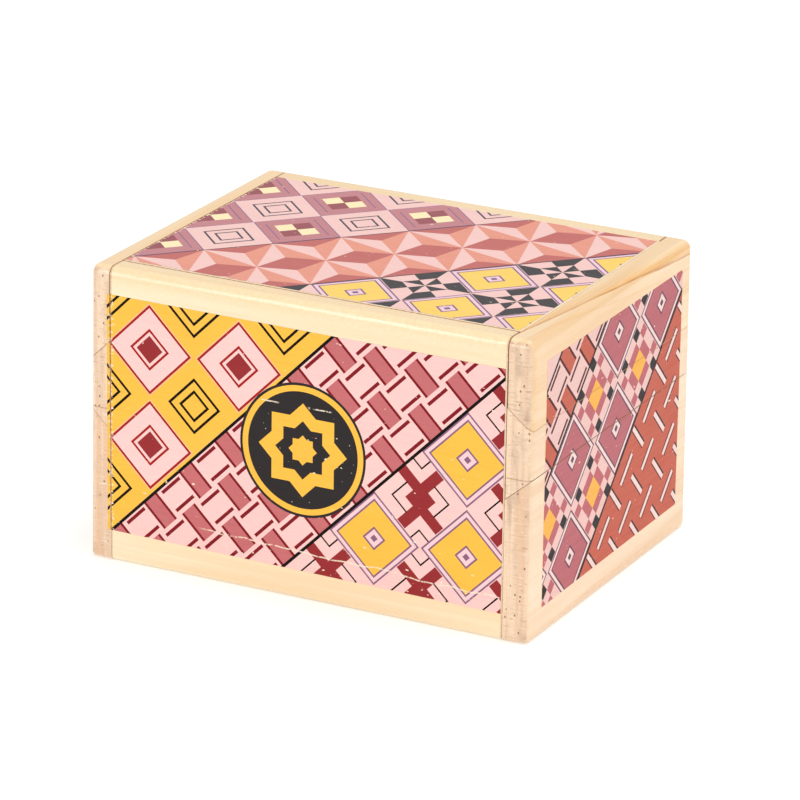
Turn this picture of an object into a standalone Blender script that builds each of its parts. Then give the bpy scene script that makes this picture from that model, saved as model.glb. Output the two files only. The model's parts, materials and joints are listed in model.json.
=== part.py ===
"""Wooden puzzle box: a sliding lid, two sliding dovetail keys, two drop pins and a hidden compartment.

Units are metres.  +X runs along the long side towards the end that the lid slides out of, +Y runs
from the front to the back, and +Z is up.  The origin is the middle of the underside.
"""
import bpy
import bmesh
import math
from mathutils import Matrix, Vector

MM = 0.001

# ---- driving dimensions ---------------------------------------------------------------------
LENGTH = 79.0 * MM          # outside, along X
DEPTH = 60.0 * MM           # outside, along Y
HEIGHT = 50.0 * MM          # outside, along Z
TOP_EDGE_R = 1.5 * MM       # the top edges are sanded round
BOTTOM_EDGE_R = 0.6 * MM    # the bottom edges are only eased
CORNER_TOP_R = 1.6 * MM     # the upright edges, at the top
CORNER_BOTTOM_R = 0.7 * MM  # the upright edges, at the bottom
END_T = {"left": 3.6 * MM, "right": 4.2 * MM}       # thickness of the end boards
SIDE_T = 4.0 * MM           # thickness of the front and back panels
FLOOR_T = 4.0 * MM          # thickness of the bottom panel
LID_T = 4.0 * MM            # thickness of the top panel
GAP = 0.3 * MM              # between pieces that touch

# The dovetail key: a trapezoid strip let into each end board, wide on its inner side.
KEY_MID_Z = {"left": 29.9 * MM, "right": 31.2 * MM}
KEY_OUTER_HALF = 4.0 * MM   # half its height on the outside
SEAM_RISE = 3.5 * MM        # how far each seam climbs through the thickness of the board
KEY_TRAVEL = 6.0 * MM

# The lid's tongues run in grooves cut in the front and back panels.
GROOVE_DEPTH = 2.0 * MM
GROOVE_H = 2.5 * MM
LIP_H = 1.8 * MM            # wood left above each groove
LID_TRAVEL = 50.5 * MM

# Inside walls.
LINER_T = 3.0 * MM          # the right one, the left one fills what its thinner board leaves
PARTITION_T = 2.0 * MM
INNER_TOP = 42.5 * MM       # top of the liners, partitions and pin blocks
SLOT_LOW = 27.7 * MM        # the slot that a key's tongue reaches through
SLOT_HIGH = 34.3 * MM
STOP_BLOCK_TOP = 45.6 * MM

# Tongue and catch on the inside of each key.
TONGUE_W = 5.0 * MM         # along Y
TONGUE_REST_Y = 10.5 * MM   # its middle, away from the centre line, when the key is flush
TONGUE_PLAY = 0.5 * MM
CATCH_L = 4.0 * MM          # along X
CATCH_TOP = 45.2 * MM

# Battens under the lid.
BATTEN_L = 6.0 * MM         # along X
BATTEN_BOTTOM = 43.0 * MM
BATTEN_PLAY = 0.5 * MM

# Drop pins.
PIN_R = 2.0 * MM
BORE_R = 2.3 * MM
PIN_LEN = 14.0 * MM
PIN_TRAVEL = 3.0 * MM
PIN_BLOCK_L = 13.0 * MM     # along X
PIN_BLOCK_W = 7.0 * MM      # along Y
STOP_BLOCK_L = 5.7 * MM
STOP_BLOCK_W = 6.4 * MM

# ---- derived places --------------------------------------------------------------------------
HALF_L = LENGTH / 2
HALF_D = DEPTH / 2
END_IN = {name: HALF_L - thickness for name, thickness in END_T.items()}
PANEL_END = {name: inner - GAP for name, inner in END_IN.items()}       # of the long panels
SIDE_IN = HALF_D - SIDE_T                   # inner face of the front and back panels
INSIDE_Y = SIDE_IN - GAP                    # how far an inside piece reaches across
LINER_IN = PANEL_END["right"] - LINER_T
ZONE_END = LINER_IN - GAP                   # outer limit of the mechanism spaces
FLOOR_TOP = FLOOR_T + GAP
LID_BOTTOM = HEIGHT - LID_T
GROOVE_TOP = HEIGHT - LIP_H
GROOVE_BOTTOM = GROOVE_TOP - GROOVE_H
PIN_BLOCK_X0 = -ZONE_END
PIN_BLOCK_X1 = PIN_BLOCK_X0 + PIN_BLOCK_L
LEFT_PARTITION_X = PIN_BLOCK_X1 + GAP
STOP_BLOCK_X = ZONE_END - STOP_BLOCK_L
RIGHT_PARTITION_X = STOP_BLOCK_X - GAP - PARTITION_T
RIGHT_CATCH_X = ZONE_END - GAP * 2 - CATCH_L
LEFT_BATTEN_X = -ZONE_END + BATTEN_PLAY
LEFT_CATCH_X = LEFT_BATTEN_X + BATTEN_L + BATTEN_PLAY
RIGHT_BATTEN_X = RIGHT_CATCH_X - BATTEN_PLAY - BATTEN_L
PIN_X = LEFT_BATTEN_X + BATTEN_L + BATTEN_PLAY + PIN_R
PIN_Y = INSIDE_Y - PIN_BLOCK_W / 2
BORE_BOTTOM = INNER_TOP - PIN_LEN - GAP
TONGUE_NEAR = TONGUE_REST_Y - TONGUE_W / 2
TONGUE_FAR = TONGUE_REST_Y + TONGUE_W / 2


def clear_scene():
    """Remove everything, so that the model starts from nothing."""
    for obj in list(bpy.data.objects):
        bpy.data.objects.remove(obj, do_unlink=True)


def material(name, colour, roughness, metallic=0.0):
    """A plain Principled material."""
    made = bpy.data.materials.new(name)
    made.use_nodes = True
    shader = made.node_tree.nodes["Principled BSDF"]
    shader.inputs["Base Color"].default_value = (*colour, 1.0)
    shader.inputs["Roughness"].default_value = roughness
    shader.inputs["Metallic"].default_value = metallic
    return made


def slide_empty(name, x, y, z):
    """An empty on a slide's axis, which the pieces that move together hang from."""
    empty = bpy.data.objects.new(name, None)
    empty.location = (x, y, z)
    bpy.context.collection.objects.link(empty)
    return empty


def link_piece(name, bm, centre, look, parent=None):
    """Turn a bmesh in world places into an object whose origin is the given centre."""
    bmesh.ops.translate(bm, verts=bm.verts, vec=-Vector(centre))
    bmesh.ops.recalc_face_normals(bm, faces=bm.faces)
    mesh = bpy.data.meshes.new(name)
    bm.to_mesh(mesh)
    bm.free()
    obj = bpy.data.objects.new(name, mesh)
    obj.location = Vector(centre)
    if parent is not None:
        obj.parent = parent
        obj.location = Vector(centre) - parent.location
    if look is not None:
        mesh.materials.append(look)
    bpy.context.collection.objects.link(obj)
    return obj


def box(name, low, high, look, parent=None):
    """A rectangular block between two corners."""
    low = Vector(low)
    high = Vector(high)
    bm = bmesh.new()
    bmesh.ops.create_cube(bm, size=1.0)
    bmesh.ops.scale(bm, vec=high - low, verts=bm.verts)
    bmesh.ops.translate(bm, vec=(low + high) / 2, verts=bm.verts)
    return link_piece(name, bm, (low + high) / 2, look, parent)


def extrusion(name, outline, place, start, end, look, parent=None):
    """A closed outline pushed from start to end.  place(a, b, t) gives a corner's position."""
    bm = bmesh.new()
    first = [bm.verts.new(place(a, b, start)) for a, b in outline]
    last = [bm.verts.new(place(a, b, end)) for a, b in outline]
    bm.faces.new(first)
    bm.faces.new(list(reversed(last)))
    count = len(outline)
    for i in range(count):
        j = (i + 1) % count
        bm.faces.new((first[i], last[i], last[j], first[j]))
    middle = sum((v.co for v in bm.verts), Vector()) / len(bm.verts)
    return link_piece(name, bm, middle, look, parent)


def along_x(a, b, t):
    """Outline in Y and Z, pushed along X."""
    return Vector((t, a, b))


def along_y(a, b, t):
    """Outline in X and Z, pushed along Y."""
    return Vector((a, t, b))


def rounded_rectangle(half_x, half_y, radius, z, steps=4):
    """Corners of a level rectangle with round corners, anticlockwise."""
    points = []
    for quarter in range(4):
        turn = quarter * math.pi / 2
        cx = math.copysign(half_x - radius, math.cos(turn + math.pi / 4))
        cy = math.copysign(half_y - radius, math.sin(turn + math.pi / 4))
        for step in range(steps + 1):
            angle = turn + math.pi / 2 * step / steps
            points.append(
                Vector((cx + radius * math.cos(angle), cy + radius * math.sin(angle), z))
            )
    return points


def make_envelope(steps=4):
    """The whole box's outer shape with round edges.  Each outer piece is trimmed to it."""
    levels = []
    for step in range(steps + 1):
        angle = math.pi / 2 * step / steps
        rise = BOTTOM_EDGE_R * (1 - math.cos(angle))
        levels.append((rise, BOTTOM_EDGE_R * (1 - math.sin(angle))))
    for step in range(steps + 1):
        angle = math.pi / 2 * step / steps
        drop = TOP_EDGE_R * (1 - math.sin(angle))
        levels.append((HEIGHT - drop, TOP_EDGE_R * (1 - math.cos(angle))))
    bm = bmesh.new()
    rings = []
    for z, inset in levels:
        radius = CORNER_BOTTOM_R + (CORNER_TOP_R - CORNER_BOTTOM_R) * z / HEIGHT - inset
        corners = rounded_rectangle(HALF_L - inset, HALF_D - inset, radius, z, steps)
        rings.append([bm.verts.new(corner) for corner in corners])
    for low, high in zip(rings, rings[1:]):
        for i in range(len(low)):
            j = (i + 1) % len(low)
            bm.faces.new((low[i], low[j], high[j], high[i]))
    bm.faces.new(list(reversed(rings[0])))
    bm.faces.new(rings[-1])
    envelope = link_piece("outer_envelope", bm, (0, 0, HEIGHT / 2), None)
    envelope.hide_render = True
    envelope.display_type = "WIRE"
    return envelope


def round_outside(obj, envelope):
    """Trim a piece to the envelope, which rounds only its outside edges."""
    trim = obj.modifiers.new("round_outside", "BOOLEAN")
    trim.operation = "INTERSECT"
    trim.solver = "EXACT"
    trim.object = envelope


def long_panel(name, side, look, envelope):
    """The front (side -1) or back (side +1) panel, with its lid groove on the inner face."""
    outline = [
        (side * HALF_D, 0.0),
        (side * HALF_D, HEIGHT),
        (side * SIDE_IN, HEIGHT),
        (side * SIDE_IN, GROOVE_TOP),
        (side * (SIDE_IN + GROOVE_DEPTH), GROOVE_TOP),
        (side * (SIDE_IN + GROOVE_DEPTH), GROOVE_BOTTOM),
        (side * SIDE_IN, GROOVE_BOTTOM),
        (side * SIDE_IN, 0.0),
    ]
    panel = extrusion(name, outline, along_x, -PANEL_END["left"], PANEL_END["right"], look)
    round_outside(panel, envelope)
    return panel


def end_board(side, name, looks, envelope, rail_parent, key_parent):
    """One end board as its three strips: lower rail, dovetail key and upper rail."""
    outer = side * HALF_L
    inner = side * END_IN[name]
    seam_half = GAP / 2 * math.hypot(1, SEAM_RISE / END_T[name])    # measured upright
    key_low_out = KEY_MID_Z[name] - KEY_OUTER_HALF
    key_high_out = KEY_MID_Z[name] + KEY_OUTER_HALF
    key_low_in = key_low_out - SEAM_RISE
    key_high_in = key_high_out + SEAM_RISE
    lower = [
        (outer, 0.0),
        (outer, key_low_out - seam_half),
        (inner, key_low_in - seam_half),
        (inner, 0.0),
    ]
    key = [
        (outer, key_low_out + seam_half),
        (outer, key_high_out - seam_half),
        (inner, key_high_in - seam_half),
        (inner, key_low_in + seam_half),
    ]
    upper = [
        (outer, key_high_out + seam_half),
        (outer, HEIGHT),
        (inner, HEIGHT),
        (inner, key_high_in + seam_half),
    ]
    strips = (
        (name + "_lower_rail", lower, None),
        (name + "_dovetail_key", key, key_parent),
        (name + "_upper_rail", upper, rail_parent),
    )
    for strip_name, outline, parent in strips:
        strip = extrusion(strip_name, outline, along_y, -HALF_D, HALF_D, looks, parent)
        round_outside(strip, envelope)


def end_liner(side, name, look):
    """The wall behind an end board, built of strips that leave a window for the key's tongue."""
    x_low = min(side * PANEL_END[name], side * LINER_IN)
    x_high = max(side * PANEL_END[name], side * LINER_IN)
    # The tongue moves towards the front on the right and towards the back on the left.
    rest = side * TONGUE_FAR + side * TONGUE_PLAY
    moved = side * (TONGUE_NEAR - KEY_TRAVEL) - side * TONGUE_PLAY
    window_front = min(rest, moved)
    window_back = max(rest, moved)
    box(name + "_liner_lower", (x_low, -INSIDE_Y, FLOOR_TOP), (x_high, INSIDE_Y, SLOT_LOW), look)
    box(name + "_liner_upper", (x_low, -INSIDE_Y, SLOT_HIGH), (x_high, INSIDE_Y, INNER_TOP), look)
    infill_low = SLOT_LOW + GAP
    infill_high = SLOT_HIGH - GAP
    box(
        name + "_liner_front_infill",
        (x_low, -INSIDE_Y, infill_low),
        (x_high, window_front, infill_high),
        look,
    )
    box(
        name + "_liner_back_infill",
        (x_low, window_back, infill_low),
        (x_high, INSIDE_Y, infill_high),
        look,
    )


def key_hardware(side, name, catch_x, look, parent):
    """The tongue that reaches in from a key, and the catch that stands on it."""
    y_low = side * TONGUE_REST_Y - TONGUE_W / 2
    y_high = side * TONGUE_REST_Y + TONGUE_W / 2
    reach = catch_x if side > 0 else catch_x + CATCH_L
    x_low = min(side * PANEL_END[name], reach)
    x_high = max(side * PANEL_END[name], reach)
    tongue_low = SLOT_LOW + GAP
    tongue_high = SLOT_HIGH - GAP
    box(name + "_key_tongue", (x_low, y_low, tongue_low), (x_high, y_high, tongue_high), look, parent)
    box(
        name + "_key_catch",
        (catch_x, y_low, tongue_high + GAP),
        (catch_x + CATCH_L, y_high, CATCH_TOP),
        look,
        parent,
    )


def lid(looks, parent):
    """The top panel with its two tongues, and the battens glued under it."""
    tongue_y = SIDE_IN + GROOVE_DEPTH - GAP
    tongue_top = GROOVE_TOP - GAP
    outline = [
        (-INSIDE_Y, HEIGHT),
        (-INSIDE_Y, tongue_top),
        (-tongue_y, tongue_top),
        (-tongue_y, LID_BOTTOM),
        (tongue_y, LID_BOTTOM),
        (tongue_y, tongue_top),
        (INSIDE_Y, tongue_top),
        (INSIDE_Y, HEIGHT),
    ]
    ends = (-PANEL_END["left"], PANEL_END["right"])
    extrusion("top_panel", outline, along_x, *ends, looks["panel"], parent)
    top = LID_BOTTOM - GAP
    reach = INSIDE_Y - 2 * TONGUE_PLAY
    catch_rest = -TONGUE_REST_Y             # the left catch stands in a gap between two battens
    half_gap = TONGUE_W / 2 + TONGUE_PLAY
    spans = (
        ("lid_batten_left_front", LEFT_BATTEN_X, -reach, catch_rest - half_gap),
        ("lid_batten_left_back", LEFT_BATTEN_X, catch_rest + half_gap, reach),
        ("lid_batten_right", RIGHT_BATTEN_X, -RIGHT_BATTEN_REACH, TONGUE_NEAR - 2 * MM),
    )
    for name, x, y_low, y_high in spans:
        box(
            name,
            (x, y_low, BATTEN_BOTTOM),
            (x + BATTEN_L, y_high, top),
            looks["inner"],
            parent,
        )


def pin_block(name, side, look):
    """A glue block in a left corner, bored from the top for its drop pin."""
    near = side * (INSIDE_Y - PIN_BLOCK_W)
    far = side * INSIDE_Y
    low = (PIN_BLOCK_X0, min(near, far), FLOOR_TOP)
    high = (PIN_BLOCK_X1, max(near, far), INNER_TOP)
    block = box(name, low, high, look)
    depth = INNER_TOP - BORE_BOTTOM
    bm = bmesh.new()
    bmesh.ops.create_cone(
        bm, cap_ends=True, segments=24, radius1=BORE_R, radius2=BORE_R, depth=depth * 2
    )
    middle = (PIN_X, side * PIN_Y, BORE_BOTTOM + depth)
    bmesh.ops.translate(bm, vec=middle, verts=bm.verts)
    cutter = link_piece(name + "_bore", bm, middle, None)
    cutter.hide_render = True
    cutter.display_type = "WIRE"
    cut = block.modifiers.new("bore", "BOOLEAN")
    cut.operation = "DIFFERENCE"
    cut.solver = "EXACT"
    cut.object = cutter


def stop_block(name, side, look):
    """A glue block in a right corner, tall enough to stop the lid's wide battens."""
    near = side * (INSIDE_Y - STOP_BLOCK_W)
    far = side * INSIDE_Y
    low = (STOP_BLOCK_X, min(near, far), FLOOR_TOP)
    high = (ZONE_END, max(near, far), STOP_BLOCK_TOP)
    box(name, low, high, look)


def drop_pin(name, side, look):
    """A steel pin standing in its bore, with its edges broken."""
    parent = slide_empty(name + "_slide", PIN_X, side * PIN_Y, BORE_BOTTOM)
    low = BORE_BOTTOM + GAP
    bm = bmesh.new()
    bmesh.ops.create_cone(
        bm, cap_ends=True, segments=24, radius1=PIN_R, radius2=PIN_R, depth=PIN_LEN
    )
    rims = [e for e in bm.edges if len({round(v.co.z, 6) for v in e.verts}) == 1]
    bmesh.ops.bevel(bm, geom=rims, offset=0.3 * MM, segments=1, affect="EDGES")
    middle = (PIN_X, side * PIN_Y, low + PIN_LEN / 2)
    bmesh.ops.transform(bm, matrix=Matrix.Translation(middle), verts=bm.verts)
    pin = link_piece(name, bm, middle, look, parent)
    pin.data.shade_smooth()
    pin.data.set_sharp_from_angle(angle=math.radians(35))


RIGHT_BATTEN_REACH = INSIDE_Y - STOP_BLOCK_W - 0.8 * MM


def build():
    """Make every piece of the box."""
    clear_scene()
    pine = material("pale_pine", (0.80, 0.66, 0.45), 0.45)
    end_pine = material("end_board_pine", (0.78, 0.63, 0.43), 0.5)
    inner = material("inner_basswood", (0.72, 0.57, 0.38), 0.6)
    key_wood = material("key_hardwood", (0.55, 0.38, 0.22), 0.5)
    steel = material("pin_steel", (0.62, 0.62, 0.64), 0.3, 1.0)
    envelope = make_envelope()
    lid_slide = slide_empty("lid_slide", 0.0, 0.0, (GROOVE_TOP + GROOVE_BOTTOM) / 2)
    left_x = -(HALF_L - END_T["left"] / 2)
    right_x = HALF_L - END_T["right"] / 2
    left_slide = slide_empty("left_key_slide", left_x, 0.0, KEY_MID_Z["left"])
    right_slide = slide_empty("right_key_slide", right_x, 0.0, KEY_MID_Z["right"])

    long_panel("front_panel", -1, pine, envelope)
    long_panel("back_panel", 1, pine, envelope)
    bottom_low = (-PANEL_END["left"], -INSIDE_Y, 0.0)
    bottom_high = (PANEL_END["right"], INSIDE_Y, FLOOR_T)
    box("bottom_panel", bottom_low, bottom_high, pine)
    end_board(-1, "left", end_pine, envelope, None, left_slide)
    end_board(1, "right", end_pine, envelope, lid_slide, right_slide)
    lid({"panel": pine, "inner": inner}, lid_slide)

    end_liner(-1, "left", inner)
    end_liner(1, "right", inner)
    key_hardware(-1, "left", LEFT_CATCH_X, key_wood, left_slide)
    key_hardware(1, "right", RIGHT_CATCH_X, key_wood, right_slide)
    box(
        "left_partition",
        (LEFT_PARTITION_X, -INSIDE_Y, FLOOR_TOP),
        (LEFT_PARTITION_X + PARTITION_T, INSIDE_Y, INNER_TOP),
        inner,
    )
    box(
        "right_partition",
        (RIGHT_PARTITION_X, -INSIDE_Y, FLOOR_TOP),
        (RIGHT_PARTITION_X + PARTITION_T, INSIDE_Y, INNER_TOP),
        inner,
    )
    pin_block("front_pin_block", -1, inner)
    pin_block("back_pin_block", 1, inner)
    stop_block("front_stop_block", -1, inner)
    stop_block("back_stop_block", 1, inner)
    drop_pin("front_drop_pin", -1, steel)
    drop_pin("back_drop_pin", 1, steel)


build()
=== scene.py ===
import json
import math

import bpy
import bmesh
from mathutils import Matrix, Vector
from mathutils.geometry import delaunay_2d_cdt


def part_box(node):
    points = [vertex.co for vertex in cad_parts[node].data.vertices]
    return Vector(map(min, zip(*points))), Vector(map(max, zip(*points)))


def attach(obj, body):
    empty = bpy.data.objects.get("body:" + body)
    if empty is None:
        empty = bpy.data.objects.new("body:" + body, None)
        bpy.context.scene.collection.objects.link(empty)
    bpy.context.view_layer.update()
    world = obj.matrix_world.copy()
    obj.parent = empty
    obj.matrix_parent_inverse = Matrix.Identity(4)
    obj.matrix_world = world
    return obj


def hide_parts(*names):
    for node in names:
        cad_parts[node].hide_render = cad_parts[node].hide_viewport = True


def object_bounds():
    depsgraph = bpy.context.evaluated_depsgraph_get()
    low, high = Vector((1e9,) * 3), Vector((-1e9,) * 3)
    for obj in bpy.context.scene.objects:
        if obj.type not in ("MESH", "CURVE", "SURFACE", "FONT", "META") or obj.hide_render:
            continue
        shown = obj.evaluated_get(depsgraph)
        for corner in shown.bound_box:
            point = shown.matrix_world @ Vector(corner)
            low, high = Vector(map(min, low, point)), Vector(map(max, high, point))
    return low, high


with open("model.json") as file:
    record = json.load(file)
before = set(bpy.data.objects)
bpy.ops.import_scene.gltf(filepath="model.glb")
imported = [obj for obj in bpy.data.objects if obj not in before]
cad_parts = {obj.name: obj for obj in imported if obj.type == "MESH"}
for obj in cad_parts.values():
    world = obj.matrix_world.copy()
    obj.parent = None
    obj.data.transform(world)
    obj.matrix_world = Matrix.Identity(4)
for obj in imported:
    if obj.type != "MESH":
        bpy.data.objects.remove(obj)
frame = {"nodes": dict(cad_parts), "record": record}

CAD_BOX = [list(corner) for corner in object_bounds()]
MM = 0.001
ROOT2 = math.sqrt(2)

# ---- the box, read from the frame ----
HALF_L, HALF_D, HEIGHT = CAD_BOX[1]
GROOVE_DEPTH = 2.0 * MM                         # in the panels, as deep as the lid's tongues
LID_LOW, LID_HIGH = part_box("top_panel")
LID_HALF_Y = LID_HIGH.y - GROOVE_DEPTH          # beside its tongues
PANEL_LOW, PANEL_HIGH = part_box("front_panel")
SIDE_IN = -PANEL_HIGH.y                         # inner face of the front and back panels
END_IN = {"left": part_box("left_lower_rail")[1].x, "right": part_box("right_lower_rail")[0].x}
RAIL_BODY = {"left": "casing", "right": "lid"}  # what each upper rail is glued to

# ---- finish of the wood ----
TOP_EDGE_R = 1.5 * MM     # sanded outside edges
BOTTOM_EDGE_R = 0.6 * MM
ROUND_STEPS = 9           # flats in a quarter round
CORNER_TOP_R = 1.6 * MM
CORNER_BOTTOM_R = 0.7 * MM
ARRIS = 0.08 * MM         # the slight softening of every other edge
SEAM = 0.04 * MM          # half a seam between two strips, measured upright
PANEL_GROWTH = 0.10 * MM  # panels reach this far into the gap that the solids leave
KEY_FIT = 0.12 * MM       # keys and lower rails fit the panels closer than the upper rails
RAIL_FIT = 0.16 * MM
LID_FIT = 0.02 * MM       # the lid is glued to its rail
LID_GAP = 0.05 * MM       # between the lid and the front and back boards
LIP = 1.8 * MM            # wood over the lid's grooves
TONGUE_DROP = 2.1 * MM    # how far the lid's tongues lie below its top
TONGUE_ROOM = 0.3 * MM    # play under the tongues
SANDED = {"inner_wood": 0.25 * MM, "batten": 0.4 * MM, "key_block": 0.35 * MM}
INK_T = 0.02 * MM         # how far the printed film stands on the wood
INK_SINK = 0.01 * MM

# ---- limits of the drawing ----
LINE = 0.034            # a drawn line, in pattern squares
FAR = 9.0               # past every corner of a face, in pattern squares
SAME_SPOT = 0.002       # corners closer than this are one, in millimetres
LEAST_AREA = 0.0005     # slivers under this are left out, in square millimetres
MERGE = 0.0001          # crossings closer than this are one
COLUMNS = range(-7, 8)  # of pattern squares, enough for any face
INSIDE = 1              # the kind of triangulation that keeps what lies inside the shapes


# ---- meshes ----
def link_mesh(name, bm):
    """Turn a bmesh in the frame's own places into an object."""
    bmesh.ops.recalc_face_normals(bm, faces=bm.faces)
    mesh = bpy.data.meshes.new(name)
    bm.to_mesh(mesh)
    bm.free()
    obj = bpy.data.objects.new(name, mesh)
    bpy.context.scene.collection.objects.link(obj)
    return obj


def apply_modifiers(obj):
    """Replace an object's mesh by what its modifiers make of it."""
    bpy.context.view_layer.update()
    evaluated = obj.evaluated_get(bpy.context.evaluated_depsgraph_get())
    made = bpy.data.meshes.new_from_object(evaluated)
    obj.modifiers.clear()
    obj.data = made


def soften(obj, width):
    """Round every sharp edge a little, and shade the result with the flats kept flat."""
    bevel = obj.modifiers.new("soften", "BEVEL")
    bevel.width = width
    bevel.segments = 2
    bevel.limit_method = "ANGLE"
    bevel.angle_limit = math.radians(28)
    bevel.miter_outer = "MITER_ARC"
    weighted = obj.modifiers.new("flat_faces", "WEIGHTED_NORMAL")
    weighted.keep_sharp = True
    obj.data.shade_smooth()
    apply_modifiers(obj)


def extrude(outline, place, start, end):
    """A closed outline pushed from start to end.  place(a, b, t) gives a corner's position."""
    bm = bmesh.new()
    first = [bm.verts.new(place(a, b, start)) for a, b in outline]
    last = [bm.verts.new(place(a, b, end)) for a, b in outline]
    bm.faces.new(first)
    bm.faces.new(list(reversed(last)))
    for i in range(len(outline)):
        j = (i + 1) % len(outline)
        bm.faces.new((first[i], last[i], last[j], first[j]))
    return bm


def along_x(a, b, t):
    """Outline in Y and Z, pushed along X."""
    return Vector((t, a, b))


def along_y(a, b, t):
    """Outline in X and Z, pushed along Y."""
    return Vector((a, t, b))


def quarter_turns():
    """Angles of a quarter round, from 0 to 90 degrees."""
    return [math.pi / 2 * step / ROUND_STEPS for step in range(ROUND_STEPS + 1)]


def rounded_rectangle(half_x, half_y, radius, z):
    """Corners of a level rectangle with round corners, anticlockwise."""
    points = []
    for quarter in range(4):
        turn = quarter * math.pi / 2
        cx = math.copysign(half_x - radius, math.cos(turn + math.pi / 4))
        cy = math.copysign(half_y - radius, math.sin(turn + math.pi / 4))
        for angle in quarter_turns():
            x = cx + radius * math.cos(turn + angle)
            y = cy + radius * math.sin(turn + angle)
            points.append(Vector((x, y, z)))
    return points


def make_envelope():
    """The outer shape of the whole box with round edges, used only to trim the outer boards."""
    quarter = [(1 - math.cos(angle), 1 - math.sin(angle)) for angle in quarter_turns()]
    levels = [(BOTTOM_EDGE_R * rise, BOTTOM_EDGE_R * inset) for rise, inset in quarter]
    levels += [(HEIGHT - TOP_EDGE_R * drop, TOP_EDGE_R * inset) for inset, drop in quarter]
    bm = bmesh.new()
    rings = []
    for z, inset in levels:
        radius = CORNER_BOTTOM_R + (CORNER_TOP_R - CORNER_BOTTOM_R) * z / HEIGHT - inset
        corners = rounded_rectangle(HALF_L - inset, HALF_D - inset, radius, z)
        rings.append([bm.verts.new(corner) for corner in corners])
    for low, high in zip(rings, rings[1:]):
        for i in range(len(low)):
            j = (i + 1) % len(low)
            bm.faces.new((low[i], low[j], high[j], high[i]))
    bm.faces.new(list(reversed(rings[0])))
    bm.faces.new(rings[-1])
    return link_mesh("trim_shape", bm)


def span_on_face(node, x):
    """The lowest and highest Z of a CAD node on the upright plane at x."""
    levels = [v.co.z for v in frame["nodes"][node].data.vertices if abs(v.co.x - x) < 0.01 * MM]
    return min(levels), max(levels)


def seam_levels(name):
    """Where the two seams of an end board lie: outer low, inner low, outer high, inner high."""
    inner = END_IN[name]
    levels = []
    for x in (math.copysign(HALF_L, inner), inner):
        key_low, key_high = span_on_face(name + "_dovetail_key", x)
        below = span_on_face(name + "_lower_rail", x)[1]
        above = span_on_face(name + "_upper_rail", x)[0]
        levels.append(((key_low + below) / 2, (key_high + above) / 2))
    return levels[0][0], levels[1][0], levels[0][1], levels[1][1]


def outer_board(name, node, body, outline, place, start, end, envelope, look):
    """A board whose outside edges follow the envelope and whose other edges are just softened."""
    obj = link_mesh(name, extrude(outline, place, start, end))
    trim = obj.modifiers.new("trim", "BOOLEAN")
    trim.operation = "INTERSECT"
    trim.solver = "EXACT"
    trim.object = envelope
    apply_modifiers(obj)
    soften(obj, ARRIS)
    finish_piece(obj, node, body, look)


def set_look(obj, look):
    """Make a material the only one of an object."""
    obj.data.materials.clear()
    obj.data.materials.append(look)


def finish_piece(obj, node, body, look):
    """Give a piece its material and its body, and hide the CAD node that it stands for."""
    set_look(obj, look)
    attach(obj, body)
    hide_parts(node)


def sanded_copy(node, name, body, look, width):
    """The same shape as a CAD node with its edges sanded."""
    bm = bmesh.new()
    bm.from_mesh(frame["nodes"][node].data)
    bmesh.ops.remove_doubles(bm, verts=bm.verts, dist=0.001 * MM)
    bmesh.ops.dissolve_limit(bm, angle_limit=math.radians(1), verts=bm.verts, edges=bm.edges)
    obj = link_mesh(name, bm)
    soften(obj, width)
    finish_piece(obj, node, body, look)


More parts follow.
